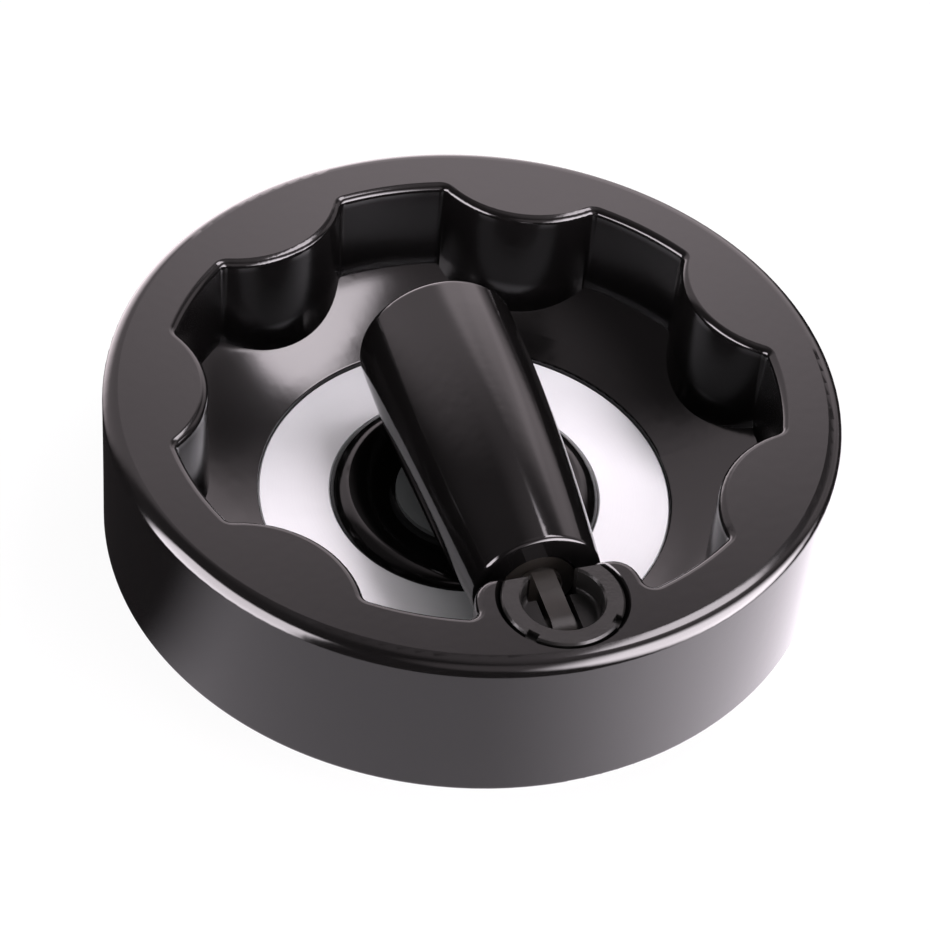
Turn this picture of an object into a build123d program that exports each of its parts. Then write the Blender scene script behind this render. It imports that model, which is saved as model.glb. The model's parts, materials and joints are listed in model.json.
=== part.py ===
# Machine handwheel: a moulded wheel with an inner wave of seven lobes for the fingers, a keyed
# steel hub bush, an aluminium trim ring, and a revolving grip on a spindle that folds away.
# Units are millimetres. The origin is the centre of the hub's back face and +Z runs along the
# shaft to the operator's side. The handle's pivot is on -Y and the folded grip points to +Y.
import math
import os

from build123d import *

# Wheel moulding
WHEEL_DIAMETER = 125.0
RIM_HEIGHT = 30.5
RIM_STANDOFF = 12.0  # back of the rim above the hub's back face
RIM_DRAFT = 0.15  # how much smaller the rim is in radius at its back
RIM_TOP_FILLET = 2.6
RIM_BACK_FILLET = 1.0
LOBE_COUNT = 7
RIM_WALL = 10.5  # width of the rim's face at the finger pockets
LOBE_DEPTH = 7.2  # how far the lobes stand in from the pockets' wall
LOBE_ARC_RADIUS = 19.5
POCKET_CORNER = 1.6
POCKET_DRAFT = 1.4  # degrees
POCKET_EDGE_FILLET = 1.3
DISH_DEPTH = 17.8  # web surface below the rim's face, at the finger pockets
LIP_DEPTH = 24.3  # web surface below the rim's face, at the trim ring
DISH_SAG = 1.0  # hollow of the dished web below a straight cone
WEB_THICKNESS = 5.4
RIM_BACK_WALL = 8.6  # width of the rim's back face
GROOVE_SHARE = 0.85  # part of the web's back that follows its front, before the rim's inner wall
GROOVE_FILLET = 2.0
LIP_ROUNDING = 0.35
BACK_BOSS_RADIUS = 8.0  # pad behind the rim that carries the housing's screw

# Centre of the wheel
HUB_LENGTH = 18.0
HUB_DIAMETER = 38.0
HUB_DRAFT = 0.6
HUB_ROOT_FILLET = 3.0
TRIM_OUTER_RADIUS = 35.8
TRIM_THICKNESS = 1.5
TRIM_DEPTH = 25.0  # trim ring's face below the rim's face
TRIM_CLEARANCE = 0.1
TRIM_CHAMFER = 0.25
BOSS_RADIUS = 23.3
BOSS_HEIGHT = 1.8  # crest of the centre boss above the trim ring
BOSS_CREST_RADIUS = 20.2
BOSS_BULGE = 0.57  # of the boss's outer shoulder over a straight slope
BOSS_WELL_RADIUS = 12.6
BOSS_WELL_DEPTH = 2.2  # floor inside the crest, below the crest
BOSS_FALL_BULGE = 0.5  # of the boss's inside over a straight cone
BOSS_WELL_FILLET = 1.2

# Hub bush
BUSH_RADIUS = 12.0
BORE_RADIUS = 7.0
BORE_CHAMFER = 0.6
KEYWAY_WIDTH = 5.0
KEYWAY_REACH = 9.3  # keyway floor from the axis
BUSH_GROOVE_WIDTH = 4.0
BUSH_GROOVE_DEPTH = 1.2
BUSH_GROOVE_HEIGHT = 12.5  # middle of the anchoring groove above the hub's back face
GRUB_RADIUS = 3.0
GRUB_LENGTH = 8.0
GRUB_HEIGHT = 6.0
GRUB_SOCKET = 3.0  # across flats
GRUB_SOCKET_DEPTH = 3.0
GRUB_RECESS_RADIUS = 3.4
GRUB_SETBACK = 0.3
GRUB_CHAMFER = 0.5

# Pivot of the fold-away handle
PIVOT_INSET = 13.5  # hinge pin in from the wheel's outer edge
PIVOT_DEPTH = 8.8  # hinge pin below the rim's face
PIVOT_BOSS_RADIUS = 14.0
PIVOT_BOSS_CORNER = 4.2
HOUSING_RADIUS = 10.0
HOUSING_LENGTH = 22.0
HOUSING_CUT = 6.6  # flat of the housing, from its own axis to the hub side
HOUSING_EDGE = 0.35
HOUSING_CUT_CHAMFER = 1.0
HOUSING_OPENING_RADIUS = 6.7
HOUSING_OPENING_DEPTH = 4.4
HOUSING_OPENING_FILLET = 0.9
SEAT_CLEARANCE = 0.1
SEAT_GROOVE_WIDTH = 0.8  # groove that sets the housing off from the rim's face
SEAT_GROOVE_DEPTH = 1.2
NOTCH_WIDTH = 2.0
NOTCH_DEPTH = 1.1
NOTCH_ANGLE = 48.0
HINGE_PIN_RADIUS = 2.0
PIN_PRESS = 0.02
PIN_RUNNING = 0.06
PIN_INSET = 0.3
CHEEK_RADIUS = 6.0  # round cheeks of the housing, about the pin that they hold
TANG_THICKNESS = 3.8
TANG_SIDE_GAP = 0.9
EYE_RADIUS = 4.6
EYE_FLAT = 4.35  # detent flats of the eye, from the pin's axis
EYE_GAP = 0.6
EYE_PAD_RADIUS = 3.4  # raised pads that keep the eye central between the cheeks
EYE_SIDE_GAP = 0.3
NECK_RADIUS = 4.0
NECK_LENGTH = 1.2
NECK_GAP = 0.2
SPRING_GAP = 0.3
SPRING_HEIGHT = 2.4
SPRING_THICKNESS = 0.6
SPRING_LENGTH = 9.4
HOUSING_SCREW_RADIUS = 2.0
HOUSING_SCREW_HEAD_RADIUS = 3.5
HOUSING_SCREW_HEAD_HEIGHT = 4.0
HOUSING_SCREW_SOCKET = 3.0
HOUSING_SCREW_SINK = 5.0  # counterbore depth from the rim's back face
HOUSING_SCREW_GRIP = 4.0  # thread engaged in the housing
SCREW_CLEARANCE = 0.3
SCREW_CHAMFER = 0.4

# Revolving grip, measured along the spindle from the hinge pin's axis
GRIP_SWING_GAP = 0.4  # grip's root clear of the pivot's front edge as the handle swings up
GRIP_LENGTH = 60.6
GRIP_ROOT_RADIUS = 10.9
GRIP_END_RADIUS = 13.85
GRIP_BARREL = 1.03  # bulge of the grip's side over a straight taper
GRIP_ROOT_FILLET = 0.9
GRIP_END_FILLET = 1.6
COLLAR_RADIUS = 6.4
COLLAR_THICKNESS = 2.0
COLLAR_SINK = 0.3
COLLAR_GAP = 0.35
SHANK_RADIUS = 4.0
RUNNING_CLEARANCE = 0.06
ROOT_WASHER_THICKNESS = 0.8
GRIP_BUSH_WALL = 1.4
END_RECESS_RADIUS = 8.0
END_RECESS_DEPTH = 7.0
END_RECESS_CHAMFER = 0.5
DISC_SPRING_HEIGHT = 0.6
DISC_SPRING_THICKNESS = 0.35
END_PLAY = 0.1
END_WASHER_RADIUS = 7.2
END_WASHER_THICKNESS = 1.2
END_SCREW_RADIUS = 2.5
END_SCREW_LENGTH = 12.0
END_SCREW_HEAD_RADIUS = 4.25
END_SCREW_HEAD_HEIGHT = 3.3
END_SCREW_SLOT = 1.2
THREAD_CLEARANCE = 0.05

WHEEL_RADIUS = WHEEL_DIAMETER / 2
FLAT_RADIUS = WHEEL_RADIUS - RIM_WALL  # wall of the finger pockets, between the lobes
LOBE_TIP_RADIUS = FLAT_RADIUS - LOBE_DEPTH
PIVOT_RADIUS = WHEEL_RADIUS - PIVOT_INSET
RIM_TOP = RIM_STANDOFF + RIM_HEIGHT
TRIM_FACE = RIM_TOP - TRIM_DEPTH
LIP_Z = RIM_TOP - LIP_DEPTH
DISH_Z = RIM_TOP - DISH_DEPTH
PIVOT_Z = RIM_TOP - PIVOT_DEPTH
SLOT_WIDTH = TANG_THICKNESS + 2 * TANG_SIDE_GAP
SLOT_FLOOR = PIVOT_Z - EYE_RADIUS - SPRING_GAP - SPRING_HEIGHT
HOUSING_BASE = RIM_TOP - HOUSING_LENGTH
SEAT_RADIUS = HOUSING_RADIUS + SEAT_CLEARANCE
EYE_THICKNESS = SLOT_WIDTH - 2 * EYE_SIDE_GAP
HOUSING_REACH = math.hypot(HOUSING_CUT - HOUSING_CUT_CHAMFER, PIVOT_DEPTH)
FILLET_CENTRE = math.hypot(HOUSING_CUT - POCKET_EDGE_FILLET, PIVOT_DEPTH - POCKET_EDGE_FILLET)
GRIP_START = max(HOUSING_REACH, FILLET_CENTRE + POCKET_EDGE_FILLET) + GRIP_SWING_GAP
BUSH_OUTER = SHANK_RADIUS + RUNNING_CLEARANCE + GRIP_BUSH_WALL
GRIP_END = GRIP_START + GRIP_LENGTH
COLLAR_START = GRIP_START + COLLAR_SINK
COLLAR_END = COLLAR_START + COLLAR_THICKNESS
TANG_END = COLLAR_START - NECK_LENGTH
ROOT_RECESS = COLLAR_SINK + COLLAR_THICKNESS + ROOT_WASHER_THICKNESS + END_PLAY
RECESS_FLOOR = GRIP_END - END_RECESS_DEPTH
SHANK_END = RECESS_FLOOR + DISC_SPRING_HEIGHT + END_PLAY
EPS = 0.01


def polar(radius, degrees):
    angle = math.radians(degrees)
    return (radius * math.cos(angle), radius * math.sin(angle))


def revolved(profile):
    """Solid of revolution about Z from a closed outline drawn in the XZ plane."""
    return revolve(profile, axis=Axis.Z, revolution_arc=360)


def along_spindle(part):
    """Carry a part drawn along +Z from the hinge pin to the folded spindle, along +Y."""
    return Pos(0, -PIVOT_RADIUS, PIVOT_Z) * Rot(-90, 0, 0) * part


def tube(outer, inner, start, length):
    """Ring along +Z between two radii."""
    ring = Circle(outer) - Circle(inner)
    return Pos(0, 0, start) * extrude(ring, amount=length)


def rod(radius, start, length):
    return Pos(0, 0, start) * extrude(Circle(radius), amount=length)


def dish_arc(drop=0.0):
    """Hollow side of the web, from the trim ring's lip out under the finger pockets."""
    inner = (TRIM_OUTER_RADIUS + TRIM_CLEARANCE, LIP_Z - drop)
    outer = (FLAT_RADIUS, DISH_Z - drop)
    middle = ((inner[0] + outer[0]) / 2, (inner[1] + outer[1]) / 2 - DISH_SAG)
    return ThreePointArc(inner, middle, outer)


def corner_fillet(face, radius, point):
    """Round the one corner of a flat outline that lies nearest a point."""
    corner = face.vertices().sort_by_distance(Vector(*point))[0]
    return fillet(corner, radius)


# The wheel moulding


def wheel_blank():
    """Hub, web, rim and the groove behind the rim, with the front still solid."""
    web_back = LIP_Z - WEB_THICKNESS
    hub_radius = HUB_DIAMETER / 2
    arc = dish_arc(WEB_THICKNESS)
    groove_foot = (WHEEL_RADIUS - RIM_BACK_WALL, RIM_STANDOFF)
    groove_top = arc.position_at(GROOVE_SHARE)
    back_arc = arc.trim(0, GROOVE_SHARE)
    corners = [
        (groove_top.X, groove_top.Y),
        groove_foot,
        (WHEEL_RADIUS - RIM_DRAFT, RIM_STANDOFF),
        (WHEEL_RADIUS, RIM_TOP),
        (0, RIM_TOP),
        (0, 0),
        (hub_radius - HUB_DRAFT, 0),
        (hub_radius, web_back),
        (TRIM_OUTER_RADIUS + TRIM_CLEARANCE, web_back),
    ]
    outline = make_face(Polyline(*corners) + back_arc)
    outline = corner_fillet(outline, RIM_TOP_FILLET, corners[3])
    outline = corner_fillet(outline, RIM_BACK_FILLET, corners[2])
    outline = corner_fillet(outline, RIM_BACK_FILLET, corners[1])
    outline = corner_fillet(outline, GROOVE_FILLET, corners[0])
    outline = corner_fillet(outline, HUB_ROOT_FILLET, corners[7])
    outline = corner_fillet(outline, RIM_BACK_FILLET, corners[6])
    return revolved(Plane.XZ * outline)


def pocket_outline():
    """Opening in the rim's face: a circle with six finger lobes and the pivot boss left standing."""
    outline = Circle(FLAT_RADIUS)
    step = 360 / LOBE_COUNT
    for index in range(1, LOBE_COUNT):
        centre = polar(LOBE_TIP_RADIUS + LOBE_ARC_RADIUS, index * step - 90)
        outline -= Pos(*centre) * Circle(LOBE_ARC_RADIUS)
    boss_face = HOUSING_CUT - PIVOT_RADIUS
    boss_half_width = math.sqrt(PIVOT_BOSS_RADIUS**2 - HOUSING_CUT**2)
    boss_stand = FLAT_RADIUS - math.hypot(boss_half_width, boss_face)
    boss = Circle(PIVOT_BOSS_RADIUS)
    boss -= Pos(0, HOUSING_CUT + PIVOT_BOSS_RADIUS) * Rectangle(
        4 * PIVOT_BOSS_RADIUS, 2 * PIVOT_BOSS_RADIUS
    )
    outline -= Pos(0, -PIVOT_RADIUS) * boss
    face_corners = [v for v in outline.vertices() if abs(v.Y - boss_face) < EPS]
    outline = fillet(face_corners, min(PIVOT_BOSS_CORNER, boss_stand - POCKET_CORNER))
    wall_corners = [
        v for v in outline.vertices() if abs(math.hypot(v.X, v.Y) - FLAT_RADIUS) < EPS
    ]
    return fillet(wall_corners, POCKET_CORNER)


def web_surface():
    """Everything above the web, the trim ring's seat and the centre boss, as one turned body."""
    seat_floor = TRIM_FACE - TRIM_THICKNESS
    crest = TRIM_FACE + BOSS_HEIGHT
    well_floor = crest - BOSS_WELL_DEPTH
    lip = TRIM_OUTER_RADIUS + TRIM_CLEARANCE
    above = RIM_TOP + RIM_TOP_FILLET
    path = Polyline((lip, LIP_Z), (lip, seat_floor), (BOSS_RADIUS, seat_floor), (BOSS_RADIUS, TRIM_FACE))
    path += SagittaArc((BOSS_RADIUS, TRIM_FACE), (BOSS_CREST_RADIUS, crest), -BOSS_BULGE)
    path += SagittaArc((BOSS_CREST_RADIUS, crest), (BOSS_WELL_RADIUS, well_floor), -BOSS_FALL_BULGE)
    path += Polyline(
        (BOSS_WELL_RADIUS, well_floor),
        (0, well_floor),
        (0, above),
        (FLAT_RADIUS, above),
        (FLAT_RADIUS, DISH_Z),
    )
    outline = make_face(path + dish_arc())
    outline = corner_fillet(outline, BOSS_WELL_FILLET, (BOSS_WELL_RADIUS, well_floor))
    outline = corner_fillet(outline, LIP_ROUNDING, (lip, LIP_Z))
    return revolved(Plane.XZ * outline)


def pocket():
    """Hollow of the wheel: the waved opening, drafted inwards, down to the dished web."""
    depth = TRIM_DEPTH + TRIM_THICKNESS
    top = Pos(0, 0, RIM_TOP) * pocket_outline()
    return extrude(top, amount=-depth, taper=POCKET_DRAFT) & web_surface()


def wheel_body():
    body = wheel_blank() - pocket()
    edges = [
        edge
        for edge in body.edges()
        if abs((edge @ 0).Z - RIM_TOP) < EPS
        and abs((edge @ 0.5).Z - RIM_TOP) < EPS
        and math.hypot((edge @ 0.5).X, (edge @ 0.5).Y) < FLAT_RADIUS + EPS
    ]
    body = fillet(edges, POCKET_EDGE_FILLET)
    body += Pos(0, -PIVOT_RADIUS) * rod(BACK_BOSS_RADIUS, RIM_STANDOFF, HOUSING_BASE - RIM_STANDOFF)
    body -= Pos(0, -PIVOT_RADIUS) * rod(SEAT_RADIUS, HOUSING_BASE, HOUSING_LENGTH)
    body -= Pos(0, -PIVOT_RADIUS, RIM_TOP - SEAT_GROOVE_DEPTH / 2) * Cone(
        SEAT_RADIUS, SEAT_RADIUS + SEAT_GROOVE_WIDTH, SEAT_GROOVE_DEPTH
    )
    body -= screw_way()
    body -= bush_outline()
    return body - grub_way()


def screw_way():
    """Counterbore and clearance hole for the housing's screw, from the back of the rim."""
    head = rod(HOUSING_SCREW_HEAD_RADIUS + SCREW_CLEARANCE, RIM_STANDOFF, HOUSING_SCREW_SINK)
    shank = rod(HOUSING_SCREW_RADIUS + SCREW_CLEARANCE, RIM_STANDOFF, HOUSING_BASE - RIM_STANDOFF)
    return Pos(0, -PIVOT_RADIUS) * (head + shank)


def grub_way():
    """Hole through the hub's moulding for the grub screw."""
    return Pos(0, 0, GRUB_HEIGHT) * Rot(0, 90, 0) * rod(GRUB_RECESS_RADIUS, BORE_RADIUS, HUB_DIAMETER / 2)


# The centre of the wheel


def bush_outline():
    """Turned outside of the hub bush, with the groove that anchors it in the moulding."""
    body = rod(BUSH_RADIUS, 0, HUB_LENGTH)
    groove = tube(BUSH_RADIUS, BUSH_RADIUS - BUSH_GROOVE_DEPTH, 0, BUSH_GROOVE_WIDTH)
    return body - Pos(0, 0, BUSH_GROOVE_HEIGHT - BUSH_GROOVE_WIDTH / 2) * groove


def hub_bush():
    bush = bush_outline() - rod(BORE_RADIUS, 0, HUB_LENGTH)
    mouths = bush.edges().filter_by(GeomType.CIRCLE)
    mouths = mouths.filter_by(lambda edge: abs(edge.radius - BORE_RADIUS) < EPS)
    bush = chamfer(mouths, BORE_CHAMFER)
    keyway = Pos(0, KEYWAY_REACH / 2, HUB_LENGTH / 2) * Box(KEYWAY_WIDTH, KEYWAY_REACH, HUB_LENGTH)
    grub_hole = rod(GRUB_RADIUS + THREAD_CLEARANCE, 0, BUSH_RADIUS)
    return bush - keyway - Pos(0, 0, GRUB_HEIGHT) * Rot(0, 90, 0) * grub_hole


def hub_grub_screw():
    screw = rod(GRUB_RADIUS, 0, GRUB_LENGTH)
    screw = chamfer(screw.edges().filter_by(GeomType.CIRCLE), GRUB_CHAMFER)
    socket = RegularPolygon(GRUB_SOCKET / math.sqrt(3), 6)
    screw -= Pos(0, 0, GRUB_LENGTH - GRUB_SOCKET_DEPTH) * extrude(socket, amount=GRUB_SOCKET_DEPTH)
    return Pos(BORE_RADIUS + GRUB_SETBACK, 0, GRUB_HEIGHT) * Rot(0, 90, 0) * screw


def trim_ring():
    ring = tube(TRIM_OUTER_RADIUS, BOSS_RADIUS + TRIM_CLEARANCE, TRIM_FACE - TRIM_THICKNESS, TRIM_THICKNESS)
    rims = ring.edges().filter_by(lambda edge: edge.center().Z > TRIM_FACE - EPS)
    return chamfer(rims, TRIM_CHAMFER)


# The pivot


def pivot_housing():
    """Round insert in the rim, cut flat to the hub side, with the slot that the tang folds in."""
    body = rod(HOUSING_RADIUS, HOUSING_BASE, HOUSING_LENGTH)
    body -= Pos(0, HOUSING_CUT + HOUSING_RADIUS, RIM_TOP - HOUSING_LENGTH / 2) * Box(
        4 * HOUSING_RADIUS, 2 * HOUSING_RADIUS, 2 * HOUSING_LENGTH
    )
    top_edges = body.edges().filter_by(lambda edge: abs((edge @ 0.5).Z - RIM_TOP) < EPS)
    body = chamfer(top_edges.filter_by(GeomType.LINE), HOUSING_CUT_CHAMFER)
    rim_edges = body.edges().filter_by(GeomType.CIRCLE)
    body = chamfer(rim_edges.filter_by(lambda edge: abs((edge @ 0.5).Z - RIM_TOP) < EPS), HOUSING_EDGE)
    body -= housing_opening()
    body -= tang_slot() + neck_channel()
    for side in (-1, 1):
        body -= housing_notch(side)
    body -= Pos(0, 0, PIVOT_Z) * Rot(0, 90, 0) * Cylinder(HINGE_PIN_RADIUS + PIN_PRESS, 4 * HOUSING_RADIUS)
    body -= rod(HOUSING_SCREW_RADIUS + THREAD_CLEARANCE, HOUSING_BASE, HOUSING_SCREW_GRIP + SCREW_CLEARANCE)
    return Pos(0, -PIVOT_RADIUS) * body


def housing_opening():
    """Round opening in the housing's face, with a broken edge and a filleted floor."""
    opening = rod(HOUSING_OPENING_RADIUS, RIM_TOP - HOUSING_OPENING_DEPTH, HOUSING_OPENING_DEPTH)
    floor_edge = opening.edges().filter_by(GeomType.CIRCLE).sort_by(Axis.Z)[0]
    mouth = Cone(HOUSING_OPENING_RADIUS, HOUSING_OPENING_RADIUS + HOUSING_EDGE, HOUSING_EDGE)
    return fillet(floor_edge, HOUSING_OPENING_FILLET) + Pos(0, 0, RIM_TOP - HOUSING_EDGE / 2) * mouth


def tang_slot():
    """Slot through the housing, open to its face and to the hub side."""
    back = -EYE_RADIUS - EYE_GAP
    front = HOUSING_CUT + HOUSING_RADIUS
    height = RIM_TOP - SLOT_FLOOR
    slot = Box(SLOT_WIDTH, front - back, height)
    return Pos(0, (front + back) / 2, RIM_TOP - height / 2) * slot


def neck_channel():
    """Wider way for the spindle's round neck, cut down to the round cheeks that hold the hinge pin."""
    half = NECK_RADIUS + NECK_GAP
    front = HOUSING_CUT + HOUSING_RADIUS
    low = PIVOT_Z - half
    channel = Pos(0, (front - half) / 2, (RIM_TOP + low) / 2) * Box(2 * half, front + half, RIM_TOP - low)
    cheeks = Pos(0, 0, PIVOT_Z) * Rot(0, 90, 0) * Cylinder(CHEEK_RADIUS, 4 * half)
    return channel - cheeks


def housing_notch(side):
    """Small assembly notch in the housing's outer edge."""
    reach = HOUSING_RADIUS - NOTCH_DEPTH / 2
    notch = Pos(reach, 0, RIM_TOP - NOTCH_DEPTH / 2) * Box(NOTCH_DEPTH, NOTCH_WIDTH, NOTCH_DEPTH)
    return Rot(0, 0, -90 + side * NOTCH_ANGLE) * notch


def hinge_pin():
    length = 2 * (HOUSING_RADIUS - PIN_INSET)
    pin = Cylinder(HINGE_PIN_RADIUS, length)
    pin = chamfer(pin.edges().filter_by(GeomType.CIRCLE), PIN_INSET)
    return Pos(0, -PIVOT_RADIUS, PIVOT_Z) * Rot(0, 90, 0) * pin


def detent_spring():
    """Folded strip under the eye, bent round on the side away from the hub."""
    bend = SPRING_HEIGHT / 2
    leaf = SPRING_LENGTH - bend
    profile = Circle(bend) + Pos(leaf / 2, 0) * Rectangle(leaf, SPRING_HEIGHT)
    inner = bend - SPRING_THICKNESS
    hollow = Circle(inner) + Pos(SPRING_LENGTH / 2, 0) * Rectangle(SPRING_LENGTH, 2 * inner)
    strip = extrude(Plane.YZ * (profile - hollow), amount=EYE_THICKNESS / 2, both=True)
    back = -EYE_RADIUS - EYE_GAP + SPRING_GAP
    return Pos(0, back + bend - PIVOT_RADIUS, SLOT_FLOOR + bend) * strip


def socket_screw(radius, length, head_radius, head_height, socket):
    """Cap screw along +Z with its head's underside at the origin and the shank upwards."""
    screw = rod(radius, 0, length) + rod(head_radius, -head_height, head_height)
    drive = RegularPolygon(socket / math.sqrt(3), 6)
    screw -= Pos(0, 0, -head_height) * extrude(drive, amount=head_height / 2)
    rims = screw.edges().filter_by(GeomType.CIRCLE)
    ends = [edge for edge in rims if edge.center().Z < EPS - head_height or edge.center().Z > length - EPS]
    return chamfer(ends, SCREW_CHAMFER)


def housing_screw():
    length = HOUSING_BASE - RIM_STANDOFF - HOUSING_SCREW_SINK + HOUSING_SCREW_GRIP
    screw = socket_screw(
        HOUSING_SCREW_RADIUS,
        length,
        HOUSING_SCREW_HEAD_RADIUS,
        HOUSING_SCREW_HEAD_HEIGHT,
        HOUSING_SCREW_SOCKET,
    )
    return Pos(0, -PIVOT_RADIUS, RIM_STANDOFF + HOUSING_SCREW_SINK) * screw


# The spindle and the revolving grip


def eye_spindle():
    """Flat eye and tang, short round neck, thrust collar and the shank that the grip turns on."""
    tang = Circle(EYE_RADIUS) + Pos(0, TANG_END / 2) * Rectangle(2 * EYE_RADIUS, TANG_END)
    tang -= Pos(0, -EYE_FLAT - EYE_RADIUS) * Rectangle(4 * EYE_RADIUS, 2 * EYE_RADIUS)
    tang -= Pos(EYE_FLAT + EYE_RADIUS, 0) * Rectangle(2 * EYE_RADIUS, 2 * TANG_END + EYE_RADIUS)
    body = extrude(Plane.YZ * tang, amount=TANG_THICKNESS / 2, both=True)
    body += extrude(Plane.YZ * Circle(EYE_PAD_RADIUS), amount=EYE_THICKNESS / 2, both=True)
    body -= extrude(Plane.YZ * Circle(HINGE_PIN_RADIUS + PIN_RUNNING), amount=EYE_THICKNESS, both=True)
    neck = rod(NECK_RADIUS, TANG_END, NECK_LENGTH)
    body += chamfer(neck.edges().filter_by(GeomType.CIRCLE).sort_by(Axis.Z)[0], SCREW_CHAMFER)
    body += rod(COLLAR_RADIUS, COLLAR_START, COLLAR_THICKNESS)
    body += rod(SHANK_RADIUS, COLLAR_END, SHANK_END - COLLAR_END)
    depth = END_SCREW_LENGTH + SCREW_CLEARANCE
    body -= rod(END_SCREW_RADIUS + THREAD_CLEARANCE, SHANK_END - depth, depth)
    return along_spindle(body)


def grip():
    """Barrelled grip with a recess for the collar at its root and one for the screw at its end."""
    root = (GRIP_ROOT_RADIUS, GRIP_START)
    end = (GRIP_END_RADIUS, GRIP_END)
    middle = ((root[0] + end[0]) / 2 + GRIP_BARREL, (root[1] + end[1]) / 2)
    side = ThreePointArc(root, middle, end)
    outline = make_face(Polyline(end, (0, GRIP_END), (0, GRIP_START), root) + side)
    outline = corner_fillet(outline, GRIP_ROOT_FILLET, root)
    outline = corner_fillet(outline, GRIP_END_FILLET, end)
    body = revolved(Plane.XZ * outline)
    body -= rod(COLLAR_RADIUS + COLLAR_GAP, GRIP_START, ROOT_RECESS)
    body -= rod(BUSH_OUTER, GRIP_START, GRIP_LENGTH)
    body -= rod(END_RECESS_RADIUS, RECESS_FLOOR, END_RECESS_DEPTH)
    mouth = body.edges().filter_by(GeomType.CIRCLE).filter_by(is_end_mouth)
    return along_spindle(chamfer(mouth, END_RECESS_CHAMFER))


def is_end_mouth(edge):
    return abs(edge.radius - END_RECESS_RADIUS) < EPS and edge.center().Z > GRIP_END - EPS


def grip_bush():
    start = GRIP_START + ROOT_RECESS
    return along_spindle(tube(BUSH_OUTER, SHANK_RADIUS + RUNNING_CLEARANCE, start, RECESS_FLOOR - start))


def root_washer():
    return along_spindle(
        tube(COLLAR_RADIUS, SHANK_RADIUS + RUNNING_CLEARANCE, COLLAR_END, ROOT_WASHER_THICKNESS)
    )


def disc_spring():
    """Dished spring washer that takes up the grip's end play."""
    cone = DISC_SPRING_HEIGHT - DISC_SPRING_THICKNESS
    base = SHANK_END - DISC_SPRING_HEIGHT
    inner = SHANK_RADIUS + RUNNING_CLEARANCE
    section = Polyline(
        (inner, base + cone),
        (END_WASHER_RADIUS, base),
        (END_WASHER_RADIUS, base + DISC_SPRING_THICKNESS),
        (inner, base + DISC_SPRING_HEIGHT),
        (inner, base + cone),
    )
    return along_spindle(revolved(Plane.XZ * make_face(section)))


def end_washer():
    return along_spindle(
        tube(END_WASHER_RADIUS, END_SCREW_RADIUS + SCREW_CLEARANCE, SHANK_END, END_WASHER_THICKNESS)
    )


def end_screw():
    """Slotted cheese-head screw that holds the grip on the spindle."""
    under_head = SHANK_END + END_WASHER_THICKNESS
    head = rod(END_SCREW_HEAD_RADIUS, under_head, END_SCREW_HEAD_HEIGHT)
    crown = head.edges().filter_by(GeomType.CIRCLE).sort_by(Axis.Z)[-1]
    head = chamfer(crown, SCREW_CHAMFER)
    slot_depth = END_SCREW_HEAD_HEIGHT / 2
    head -= Pos(0, 0, under_head + END_SCREW_HEAD_HEIGHT - slot_depth / 2) * Box(
        4 * END_SCREW_HEAD_RADIUS, END_SCREW_SLOT, slot_depth
    )
    return along_spindle(head + rod(END_SCREW_RADIUS, under_head - END_SCREW_LENGTH, END_SCREW_LENGTH))


PIECES = {
    "wheel_body": wheel_body,
    "trim_ring": trim_ring,
    "hub_bush": hub_bush,
    "hub_grub_screw": hub_grub_screw,
    "pivot_housing": pivot_housing,
    "housing_screw": housing_screw,
    "hinge_pin": hinge_pin,
    "detent_spring": detent_spring,
    "eye_spindle": eye_spindle,
    "root_washer": root_washer,
    "grip": grip,
    "grip_bush": grip_bush,
    "disc_spring": disc_spring,
    "end_washer": end_washer,
    "end_screw": end_screw,
}

os.makedirs("parts", exist_ok=True)
for name, build in PIECES.items():
    piece = build()
    export_step(piece, f"parts/{name}.step")
    print(name, round(piece.volume))
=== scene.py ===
# Machine handwheel with a fold-away revolving handle: finishes, floor, light and camera.
import json
import math

import bpy
from mathutils import Matrix

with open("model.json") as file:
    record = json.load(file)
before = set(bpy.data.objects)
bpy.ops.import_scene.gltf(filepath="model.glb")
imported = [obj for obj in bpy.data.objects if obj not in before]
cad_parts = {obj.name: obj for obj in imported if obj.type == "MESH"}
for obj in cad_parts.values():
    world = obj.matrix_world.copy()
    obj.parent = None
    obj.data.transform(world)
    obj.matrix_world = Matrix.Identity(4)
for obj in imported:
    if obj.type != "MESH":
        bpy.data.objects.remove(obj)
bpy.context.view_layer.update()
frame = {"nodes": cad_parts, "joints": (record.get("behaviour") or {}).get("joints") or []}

print("handwheel: frame loaded,", len(frame["nodes"]), "nodes")


# Small helpers for node trees

# One shader node: settings are its own options, inputs are values or sockets to link
def addNode(tree, kind, inputs=None, **settings):
    node = tree.nodes.new(kind)
    for key, value in settings.items():
        setattr(node, key, value)
    for key, value in (inputs or {}).items():
        if isinstance(value, bpy.types.NodeSocket):
            tree.links.new(value, node.inputs[key])
        else:
            node.inputs[key].default_value = value
    return node


def mixColour(tree, factor, first, second):
    node = addNode(tree, "ShaderNodeMix", data_type="RGBA")
    tree.links.new(factor, node.inputs["Factor"])
    for key, value in ((6, first), (7, second)):  # A and B of the colour sockets
        if isinstance(value, bpy.types.NodeSocket):
            tree.links.new(value, node.inputs[key])
        else:
            node.inputs[key].default_value = (*value, 1)
    return node.outputs[2]


# A 0 to 1 value carried to the span from low to high
def spread(tree, value, low, high):
    node = addNode(tree, "ShaderNodeMapRange", {"Value": value, "To Min": low, "To Max": high})
    return node.outputs["Result"]


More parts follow.
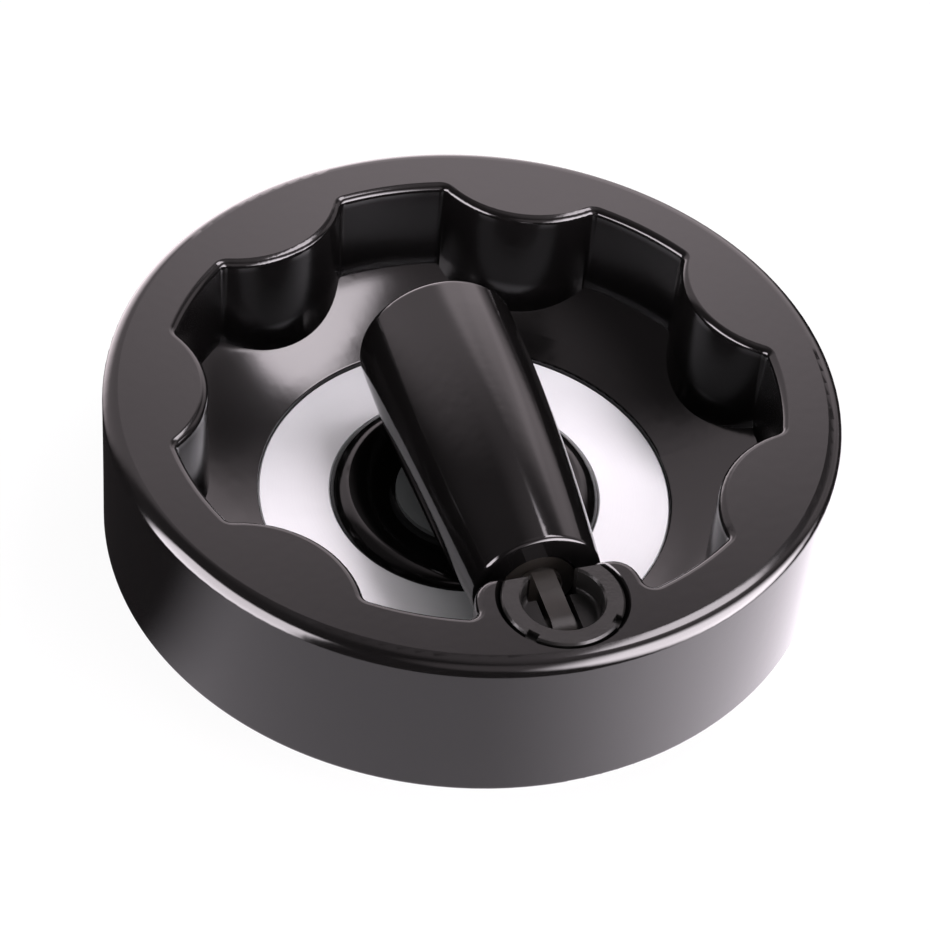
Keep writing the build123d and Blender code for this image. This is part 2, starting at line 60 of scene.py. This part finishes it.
def newGroup(name, inputs, outputs):
    tree = bpy.data.node_groups.new(name, "ShaderNodeTree")
    for label, kind, value in inputs:
        socket = tree.interface.new_socket(label, in_out="INPUT", socket_type="NodeSocket" + kind)
        if value is not None:
            socket.default_value = value
    for label, kind in outputs:
        tree.interface.new_socket(label, in_out="OUTPUT", socket_type="NodeSocket" + kind)
    start = tree.nodes.new("NodeGroupInput").outputs
    end = tree.nodes.new("NodeGroupOutput").inputs
    return tree, start, end


# Skin of a moulding: slow mottle of tone and polish, and faint orange peel
def makeMouldSkin():
    tree, start, end = newGroup(
        "mouldSkin",
        [("Vector", "Vector", None), ("Mottle Scale", "Float", 60.0), ("Peel Scale", "Float", 700.0)],
        [("Tone", "Float"), ("Polish", "Float"), ("Height", "Float")],
    )
    mottle = addNode(
        tree, "ShaderNodeTexNoise",
        {"Vector": start["Vector"], "Scale": start["Mottle Scale"], "Detail": 4.0, "Roughness": 0.6},
    )
    peel = addNode(
        tree, "ShaderNodeTexNoise",
        {"Vector": start["Vector"], "Scale": start["Peel Scale"], "Detail": 2.0, "Roughness": 0.45},
    )
    polish = addNode(
        tree, "ShaderNodeTexNoise",
        {"Vector": start["Vector"], "Scale": start["Mottle Scale"], "Detail": 7.0, "Distortion": 1.2},
    )
    tree.links.new(mottle.outputs["Fac"], end["Tone"])
    tree.links.new(polish.outputs["Fac"], end["Polish"])
    tree.links.new(peel.outputs["Fac"], end["Height"])
    return tree


# Fine rings about the Z axis of Vector: noise of the radius alone, broken up a little round the turn
def makeLatheLines():
    tree, start, end = newGroup(
        "latheLines",
        [("Vector", "Vector", None), ("Lines", "Float", 4000.0), ("Breakup", "Float", 0.35)],
        [("Shade", "Float"), ("Height", "Float")],
    )
    parts = addNode(tree, "ShaderNodeSeparateXYZ", {"Vector": start["Vector"]})
    flat = addNode(tree, "ShaderNodeCombineXYZ", {"X": parts.outputs["X"], "Y": parts.outputs["Y"]})
    radius = addNode(tree, "ShaderNodeVectorMath", {0: flat.outputs["Vector"]}, operation="LENGTH")
    away = addNode(
        tree, "ShaderNodeMath", {0: radius.outputs["Value"], 1: parts.outputs["Z"]}, operation="ADD"
    )
    turn = addNode(
        tree, "ShaderNodeMath", {0: away.outputs["Value"], 1: start["Lines"]}, operation="MULTIPLY"
    )
    rings = addNode(
        tree, "ShaderNodeTexNoise",
        {"W": turn.outputs["Value"], "Scale": 1.0, "Detail": 3.0, "Roughness": 0.7},
        noise_dimensions="1D",
    )
    patches = addNode(
        tree, "ShaderNodeTexNoise", {"Vector": start["Vector"], "Scale": 140.0, "Detail": 3.0}
    )
    broken = addNode(
        tree, "ShaderNodeMix",
        {"Factor": start["Breakup"], "A": rings.outputs["Fac"], "B": patches.outputs["Fac"]},
        data_type="FLOAT",
    )
    tree.links.new(broken.outputs["Result"], end["Shade"])
    tree.links.new(rings.outputs["Fac"], end["Height"])
    return tree


mouldSkin = makeMouldSkin()
latheLines = makeLatheLines()


# A material with one Principled shader, its plain values set on its own sockets
def newMaterial(name, values):
    material = bpy.data.materials.new(name)
    material.use_nodes = True
    tree = material.node_tree
    tree.nodes.clear()
    surface = addNode(tree, "ShaderNodeBsdfPrincipled", values)
    addNode(tree, "ShaderNodeOutputMaterial", {"Surface": surface.outputs["BSDF"]})
    return material, tree, surface


# Object coordinates, moved and turned so that a pattern sits on the piece's own axis
def objectVector(tree, location=(0, 0, 0), rotation=(0, 0, 0)):
    coordinates = addNode(tree, "ShaderNodeTexCoord")
    mapping = addNode(
        tree, "ShaderNodeMapping",
        {"Vector": coordinates.outputs["Object"], "Location": location, "Rotation": rotation},
    )
    return mapping.outputs["Vector"]


def placeGroup(tree, group, inputs):
    node = tree.nodes.new("ShaderNodeGroup")
    node.node_tree = group
    for key, value in inputs.items():
        if isinstance(value, bpy.types.NodeSocket):
            tree.links.new(value, node.inputs[key])
        else:
            node.inputs[key].default_value = value
    return node.outputs


def addBump(tree, surface, height, strength, distance):
    bump = addNode(
        tree, "ShaderNodeBump", {"Height": height, "Strength": strength, "Distance": distance}
    )
    tree.links.new(bump.outputs["Normal"], surface.inputs["Normal"])


# 1 in a round well about an upright axis, between its floor and its mouth, and 0 elsewhere
def makeWellMask():
    tree, start, end = newGroup(
        "wellMask",
        [("Vector", "Vector", None), ("Radius", "Float", 0.05), ("Floor", "Float", 0.0),
         ("Mouth", "Float", 0.04), ("Soft", "Float", 0.001)],
        [("Inside", "Float")],
    )
    parts = addNode(tree, "ShaderNodeSeparateXYZ", {"Vector": start["Vector"]})
    flat = addNode(tree, "ShaderNodeCombineXYZ", {"X": parts.outputs["X"], "Y": parts.outputs["Y"]})
    radius = addNode(tree, "ShaderNodeVectorMath", {0: flat.outputs["Vector"]}, operation="LENGTH")
    inside = 1.0
    for value, edge, low, high in (
        (radius.outputs["Value"], "Radius", 1.0, 0.0),
        (parts.outputs["Z"], "Mouth", 1.0, 0.0),
        (parts.outputs["Z"], "Floor", 0.0, 1.0),
    ):
        short = addNode(tree, "ShaderNodeMath", {0: start[edge], 1: start["Soft"]}, operation="SUBTRACT")
        within = addNode(
            tree, "ShaderNodeMapRange",
            {
                "Value": value, "From Min": short.outputs["Value"], "From Max": start[edge],
                "To Min": low, "To Max": high,
            },
            interpolation_type="SMOOTHSTEP",
        )
        inside = addNode(
            tree, "ShaderNodeMath", {0: within.outputs["Result"], 1: inside}, operation="MULTIPLY"
        ).outputs["Value"]
    tree.links.new(inside, end["Inside"])
    return tree


wellMask = makeWellMask()


# Glossy or satin moulding, with a finish of its own in the well if the look has one
def moulded(name, look, wellAt=(0, 0, 0)):
    material, tree, surface = newMaterial(name, {"IOR": look["ior"], "Metallic": look["metal"]})
    place = objectVector(tree)
    skin = placeGroup(
        tree, mouldSkin, {"Vector": place, "Mottle Scale": look["mottle"], "Peel Scale": look["peel"]}
    )
    colour = mixColour(tree, skin["Tone"], look["dark"], look["light"])
    rough = spread(tree, skin["Polish"], *look["rough"])
    if "well" in look:
        well = look["well"]
        inside = placeGroup(
            tree, wellMask,
            {
                "Vector": objectVector(tree, [-c for c in wellAt]),
                "Radius": well["radius"], "Floor": well["floor"], "Mouth": well["mouth"],
                "Soft": well["soft"],
            },
        )["Inside"]
        rough = addNode(
            tree, "ShaderNodeMix",
            {"Factor": inside, "A": rough, "B": spread(tree, skin["Polish"], *well["rough"])},
            data_type="FLOAT",
        ).outputs["Result"]
        tree.links.new(spread(tree, inside, 0.5, well["specular"]), surface.inputs["Specular IOR Level"])
    tree.links.new(colour, surface.inputs["Base Color"])
    tree.links.new(rough, surface.inputs["Roughness"])
    addBump(tree, surface, skin["Height"], look["bump"], look["depth"])
    return material


# Metal with the fine rings that a lathe leaves about the piece's axis, which draw its highlights out
def turned(name, look, location=(0, 0, 0), rotation=(0, 0, 0)):
    material, tree, surface = newMaterial(
        name, {"Metallic": look["metal"], "IOR": look["ior"], "Anisotropic": look["grain"]}
    )
    place = objectVector(tree, location, rotation)
    lines = placeGroup(
        tree, latheLines, {"Vector": place, "Lines": look["lines"], "Breakup": look["breakup"]}
    )
    tree.links.new(mixColour(tree, lines["Shade"], look["dark"], look["light"]), surface.inputs["Base Color"])
    tree.links.new(spread(tree, lines["Shade"], *look["rough"]), surface.inputs["Roughness"])
    around = addNode(tree, "ShaderNodeVectorMath", {0: (0, 0, 1), 1: place}, operation="CROSS_PRODUCT")
    along = addNode(
        tree, "ShaderNodeVectorRotate",
        {"Vector": around.outputs["Vector"], "Rotation": rotation},
        rotation_type="EULER_XYZ", invert=True,
    )
    tree.links.new(along.outputs["Vector"], surface.inputs["Tangent"])
    addBump(tree, surface, lines["Height"], look["bump"], look["depth"])
    return material


# Finishes

wheelLook = {
    "dark": (0.0017, 0.0016, 0.0016), "light": (0.0034, 0.0031, 0.0031), "rough": (0.1, 0.145),
    "ior": 1.52, "metal": 0.0, "mottle": 55.0, "peel": 520.0, "bump": 0.05, "depth": 0.0001,
}
gripLook = dict(wheelLook, rough=(0.07, 0.11), mottle=80.0)
# The wheel's pocket walls are satin between the dish and the polished edge of the rim
wheelLook["well"] = {
    "radius": 0.0575, "floor": 0.0275, "mouth": 0.0415, "soft": 0.0015, "rough": (0.17, 0.24),
    "specular": 0.14,
}
housingLook = dict(
    wheelLook, dark=(0.004, 0.004, 0.0038), light=(0.009, 0.0086, 0.0082), rough=(0.14, 0.22),
    mottle=220.0, peel=2600.0, bump=0.12,
    well={
        "radius": 0.0071, "floor": 0.0, "mouth": 0.0423, "soft": 0.0003, "rough": (0.26, 0.36),
        "specular": 0.15,
    },
)
screwLook = dict(housingLook, rough=(0.28, 0.4), dark=(0.012, 0.012, 0.013), light=(0.022, 0.021, 0.021))
del screwLook["well"]
washerLook = dict(
    gripLook, dark=(0.62, 0.6, 0.55), light=(0.72, 0.7, 0.65), rough=(0.38, 0.5), ior=1.48,
)
trimLook = {
    "dark": (0.78, 0.795, 0.815), "light": (0.875, 0.89, 0.91), "rough": (0.46, 0.56), "ior": 1.5,
    "metal": 0.5, "grain": 0.3, "lines": 5200.0, "breakup": 0.45, "bump": 0.1, "depth": 0.00003,
}
zincLook = dict(trimLook, dark=(0.55, 0.55, 0.56), light=(0.7, 0.7, 0.71), rough=(0.2, 0.32), metal=1.0)
spindleLook = dict(
    housingLook, dark=(0.01, 0.0088, 0.0075), light=(0.018, 0.0155, 0.013), rough=(0.28, 0.4),
    well={
        "radius": 0.006, "floor": 0.0, "mouth": 0.0423, "soft": 0.004, "rough": (0.24, 0.36),
        "specular": 0.25,
    },
)
springLook = dict(zincLook, dark=(0.3, 0.29, 0.28), light=(0.42, 0.4, 0.38), rough=(0.22, 0.36))
bushLook = dict(zincLook, dark=(0.2, 0.21, 0.215), light=(0.3, 0.31, 0.315), rough=(0.42, 0.58), metal=0.5)
brassLook = dict(zincLook, dark=(0.62, 0.42, 0.16), light=(0.74, 0.53, 0.24))

pivotAt = frame["joints"][0]["pos_m"]
overPivot = (pivotAt[0], pivotAt[1], 0)
aboutGrip = {  # carries the folded spindle's axis, along +Y, onto Z
    "location": (0, pivotAt[2], 0),
    "rotation": (math.radians(90), 0, 0),
}

finishes = {
    "wheel_body": moulded("blackPhenolicGloss", wheelLook),
    "grip": moulded("blackPhenolicGrip", gripLook),
    "pivot_housing": moulded("blackenedInsert", housingLook, overPivot),
    "hub_grub_screw": moulded("blackOxide", screwLook),
    "root_washer": moulded("naturalAcetal", washerLook),
    "trim_ring": turned("silverTrim", trimLook),
    "hub_bush": turned("bushSteel", bushLook),
    "hinge_pin": turned("zincPlate", zincLook),
    "eye_spindle": moulded("blackenedSpindle", spindleLook, overPivot),
    "detent_spring": turned("springStrip", springLook),
    "end_washer": turned("zincPlateTurned", zincLook, **aboutGrip),
    "grip_bush": turned("turnedBrass", brassLook, **aboutGrip),
}
finishes["housing_screw"] = finishes["hub_grub_screw"]
finishes["disc_spring"] = finishes["detent_spring"]
finishes["end_screw"] = finishes["end_washer"]

for nodeName, node in frame["nodes"].items():
    node.data.materials.clear()
    node.data.materials.append(finishes[nodeName])
print("handwheel: finishes set")


# Floor, surroundings and lamps

floorLook = {
    "half": 6.0, "height": -0.0002, "colour": (0.82, 0.82, 0.82),
    # The camera sees plain white over the shaded floor: radii between which its share grows, share near
    # and far
    "cameraWhite": (0.12, 0.3, 0.9, 1.0),
    # Polished surfaces see it round the wheel only, as a pale glowing cloth with painted light added on one
    # side
    "clothEnds": (0.106, 0.109),  # its radius
    "clothSide": (-79, 87, 11),  # its part round the wheel: turn, reach and soft edge in degrees
    # painted light: the cloth glows brighter on one side, standing in for the softbox's light falling on the
    # floor
    "clothPaintedLight": (-15, 62, 28, 1.5),  # its bright part, likewise, and the strength that it adds
    "clothDim": 1.0,  # strength of the rest
    "clothColour": (1.0, 0.93, 1.0),
}


# Camera rays, and rays that a polished or clear surface sends on
def raySorts(tree):
    path = addNode(tree, "ShaderNodeLightPath")
    mirrored = addNode(
        tree, "ShaderNodeMath",
        {0: path.outputs["Is Glossy Ray"], 1: path.outputs["Is Transmission Ray"]},
        operation="MAXIMUM",
    )
    return path.outputs["Is Camera Ray"], mirrored.outputs["Value"]


# One soft round panel of the surroundings, seen in one direction
def addPanel(tree, direction, turn, height, reach, soft, strength):
    turn, height = math.radians(turn), math.radians(height)
    towards = (math.cos(height) * math.cos(turn), math.cos(height) * math.sin(turn), math.sin(height))
    along = addNode(
        tree, "ShaderNodeVectorMath", {0: direction, 1: towards}, operation="DOT_PRODUCT"
    ).outputs["Value"]
    return addNode(
        tree, "ShaderNodeMapRange",
        {
            "Value": along,
            "From Min": math.cos(math.radians(reach + soft)),
            "From Max": math.cos(math.radians(reach - soft)),
            "To Min": 0.0, "To Max": strength,
        },
        interpolation_type="SMOOTHSTEP",
    ).outputs["Result"]


# Pale floor: plain white with a faint shadow to the camera, clear from below; polished surfaces see it round
# the wheel only, as a glowing cloth with painted light on one side
def makeFloor():
    half, height = floorLook["half"], floorLook["height"]
    mesh = bpy.data.meshes.new("floor")
    corners = [(x, y, height) for x, y in ((-half, -half), (half, -half), (half, half), (-half, half))]
    mesh.from_pydata(corners, [], [(0, 1, 2, 3)])
    floor = bpy.data.objects.new("floor", mesh)
    bpy.context.scene.collection.objects.link(floor)
    material = bpy.data.materials.new("paleFloor")
    material.use_nodes = True
    tree = material.node_tree
    tree.nodes.clear()
    seen, mirrored = raySorts(tree)
    place = addNode(tree, "ShaderNodeTexCoord").outputs["Object"]
    radius = addNode(tree, "ShaderNodeVectorMath", {0: place}, operation="LENGTH").outputs["Value"]
    within = addNode(
        tree, "ShaderNodeMapRange",
        {
            "Value": radius, "From Min": floorLook["clothEnds"][0], "From Max": floorLook["clothEnds"][1],
            "To Min": 1.0, "To Max": 0.0,
        },
        interpolation_type="SMOOTHSTEP",
    ).outputs["Result"]
    towards = addNode(tree, "ShaderNodeVectorMath", {0: place}, operation="NORMALIZE").outputs["Vector"]
    turn, reach, soft = floorLook["clothSide"]
    side = addPanel(tree, towards, turn, 0, reach, soft, 1.0)
    cloth = addNode(tree, "ShaderNodeMath", {0: within, 1: side}, operation="MULTIPLY").outputs["Value"]
    # painted light: extra glow on one side of the cloth, for the softbox light that would fall on the floor
    # there
    turn, reach, soft, paintedExtra = floorLook["clothPaintedLight"]
    glow = addPanel(tree, towards, turn, 0, reach, soft, paintedExtra)
    strength = addNode(tree, "ShaderNodeMath", {0: glow, 1: floorLook["clothDim"]}, operation="ADD")
    pale = addNode(
        tree, "ShaderNodeEmission",
        {"Color": (*floorLook["clothColour"], 1), "Strength": strength.outputs["Value"]},
    ).outputs["Emission"]
    clear = addNode(tree, "ShaderNodeBsdfTransparent").outputs["BSDF"]
    polished = addNode(tree, "ShaderNodeMixShader", {"Fac": cloth, 1: clear, 2: pale}).outputs["Shader"]
    matt = addNode(tree, "ShaderNodeBsdfDiffuse", {"Color": (*floorLook["colour"], 1)}).outputs["BSDF"]
    lit = addNode(tree, "ShaderNodeMixShader", {"Fac": mirrored, 1: matt, 2: polished}).outputs["Shader"]
    near, far, least, most = floorLook["cameraWhite"]
    share = addNode(
        tree, "ShaderNodeMapRange",
        {"Value": radius, "From Min": near, "From Max": far, "To Min": least, "To Max": most},
        interpolation_type="SMOOTHSTEP",
    ).outputs["Result"]
    white = addNode(tree, "ShaderNodeMath", {0: seen, 1: share}, operation="MULTIPLY").outputs["Value"]
    plain = addNode(tree, "ShaderNodeEmission", {"Color": (1, 1, 1, 1), "Strength": 1.0}).outputs["Emission"]
    above = addNode(tree, "ShaderNodeMixShader", {"Fac": white, 1: lit, 2: plain}).outputs["Shader"]
    below = addNode(tree, "ShaderNodeNewGeometry").outputs["Backfacing"]
    both = addNode(tree, "ShaderNodeMixShader", {"Fac": below, 1: above, 2: clear}).outputs["Shader"]
    addNode(tree, "ShaderNodeOutputMaterial", {"Surface": both})
    mesh.materials.append(material)


surroundings = {
    "ambient": 0.6,  # light on the object from all round
    "room": 0.02,  # what polished surfaces see where no panel stands
    "tint": (1.0, 0.88, 0.925),
    # Soft round panels that polished surfaces see: turn, height, reach and soft edge in degrees, strength
    "panels": (
        (93, 8, 44.5, 5.8, 0.95),  # backdrop
        (95, -5, 12.6, 21.5, 2.85),  # its bright foot
        (61, 25, 20, 4, 0.83),
        (72, 34, 8, 7, 0.6),
        (21, 15, 21, 4.5, 0.68),  # side wall
        (-3, 63, 26, 25, 0.56),  # ceiling
        (-3, 48, 16, 8, 0.25),
        (46, 20, 14, 9, 0.6),
        (125, 52, 41, 20, 0.1),
        (-98, 28, 13, 14, 0.65),  # near wall
    ),
    "flag": (28, 45, 15, 6, 0.58),  # black flag in front of the panels
}


# Plain white to the camera; polished surfaces see the backdrop and the room's other pale panels
def makeSurroundings():
    world = bpy.data.worlds.new("studio")
    bpy.context.scene.world = world
    world.use_nodes = True
    tree = world.node_tree
    tree.nodes.clear()
    seen, mirrored = raySorts(tree)
    direction = addNode(tree, "ShaderNodeTexCoord").outputs["Generated"]
    reflected = surroundings["room"]
    for panel in surroundings["panels"]:
        glow = addPanel(tree, direction, *panel)
        reflected = addNode(tree, "ShaderNodeMath", {0: reflected, 1: glow}, operation="ADD").outputs["Value"]
    flag = addPanel(tree, direction, *surroundings["flag"])
    reflected = addNode(
        tree, "ShaderNodeMix", {"Factor": flag, "A": reflected, "B": surroundings["room"]},
        data_type="FLOAT",
    ).outputs["Result"]
    lighting = addNode(
        tree, "ShaderNodeMix",
        {"Factor": mirrored, "A": surroundings["ambient"], "B": reflected},
        data_type="FLOAT",
    ).outputs["Result"]
    strength = addNode(
        tree, "ShaderNodeMix", {"Factor": seen, "A": lighting, "B": 1.0}, data_type="FLOAT"
    ).outputs["Result"]
    colour = mixColour(tree, mirrored, (1, 1, 1), surroundings["tint"])
    light = addNode(tree, "ShaderNodeBackground", {"Color": colour, "Strength": strength})
    addNode(tree, "ShaderNodeOutputWorld", {"Surface": light.outputs["Background"]})


# Each softbox: direction from the wheel and roll in degrees, distance and size in metres, radiance at
# its middle, and the share of its half width and half height over which it fades out
softboxes = {
    "rightSoftbox": {
        "turn": -45.5, "height": 2.5, "roll": -38, "away": 0.61, "size": (1.3, 0.8), "radiance": 16.0,
        "fade": (0.6, 0.7), "taper": 0.0,
    },
    "topSoftbox": {
        "turn": 18, "height": 61.3, "roll": -2, "away": 1.6, "size": (1.3, 1.27), "radiance": 11.4,
        "fade": (0.34, 0.35), "taper": 0.98,
    },
    "leftSoftbox": {
        "turn": 188, "height": -2, "roll": -12, "away": 0.93, "size": (1.0, 1.32), "radiance": 13.0,
        "fade": (0.3, 0.35), "taper": 0.0,
    },
}
lampTint = (1.0, 0.92, 0.975)


# Area lamp facing the wheel, brightest at its middle, which narrows towards one end by its taper;
# its power is radiance times pi times area
def makeSoftbox(name, box):
    turn, height = math.radians(box["turn"]), math.radians(box["height"])
    lamp = bpy.data.lights.new(name, "AREA")
    lamp.shape = "RECTANGLE"
    lamp.size, lamp.size_y = box["size"]
    lamp.energy = box["radiance"] * math.pi * lamp.size * lamp.size_y
    lamp.color = lampTint
    lamp.use_nodes = True
    tree = lamp.node_tree
    tree.nodes.clear()
    place = addNode(
        tree, "ShaderNodeSeparateXYZ", {"Vector": addNode(tree, "ShaderNodeTexCoord").outputs["UV"]}
    )
    width = addNode(
        tree, "ShaderNodeMath", {0: place.outputs["X"], 1: -box["taper"], 2: 1.0}, operation="MULTIPLY_ADD"
    ).outputs["Value"]
    glow = 1.0
    for axis, reach, fade in (("X", 1.0, box["fade"][0]), ("Y", width, box["fade"][1])):
        offset = addNode(tree, "ShaderNodeMath", {0: place.outputs[axis], 1: 0.5}, operation="SUBTRACT")
        share = addNode(tree, "ShaderNodeMath", {0: offset.outputs["Value"], 1: reach}, operation="DIVIDE")
        edge = addNode(tree, "ShaderNodeMath", {0: share.outputs["Value"]}, operation="ABSOLUTE")
        ramp = addNode(
            tree, "ShaderNodeMapRange",
            {
                "Value": edge.outputs["Value"], "From Min": 0.5 - fade / 2, "From Max": 0.5,
                "To Min": 1.0, "To Max": 0.0,
            },
            interpolation_type="SMOOTHSTEP",
        ).outputs["Result"]
        glow = addNode(tree, "ShaderNodeMath", {0: ramp, 1: glow}, operation="MULTIPLY").outputs["Value"]
    shine = addNode(tree, "ShaderNodeEmission", {"Strength": glow})
    addNode(tree, "ShaderNodeOutputLight", {"Surface": shine.outputs["Emission"]})
    light = bpy.data.objects.new(name, lamp)
    light.location = (
        box["away"] * math.cos(height) * math.cos(turn),
        box["away"] * math.cos(height) * math.sin(turn),
        box["away"] * math.sin(height),
    )
    facing = light.location.to_track_quat("Z", "Y").to_matrix()
    light.rotation_euler = (facing @ Matrix.Rotation(math.radians(box["roll"]), 3, "Z")).to_euler()
    light.visible_camera = False
    bpy.context.scene.collection.objects.link(light)


makeFloor()
makeSurroundings()
for boxName, box in softboxes.items():
    makeSoftbox(boxName, box)
print("handwheel: floor and light made")


# Camera

cameraView = {
    "location": (-0.14460, -0.38317, 0.43419),
    "rotation": (44.8105, -4.0695, -16.5365),  # degrees
    "lens": 130.19,
}
lens = bpy.data.cameras.new("camera")
lens.lens = cameraView["lens"]
lens.sensor_width = 36
lens.clip_start = 0.01
camera = bpy.data.objects.new("camera", lens)
camera.location = cameraView["location"]
camera.rotation_euler = [math.radians(angle) for angle in cameraView["rotation"]]
bpy.context.scene.collection.objects.link(camera)
bpy.context.scene.camera = camera
bpy.context.scene.view_settings.view_transform = "Standard"
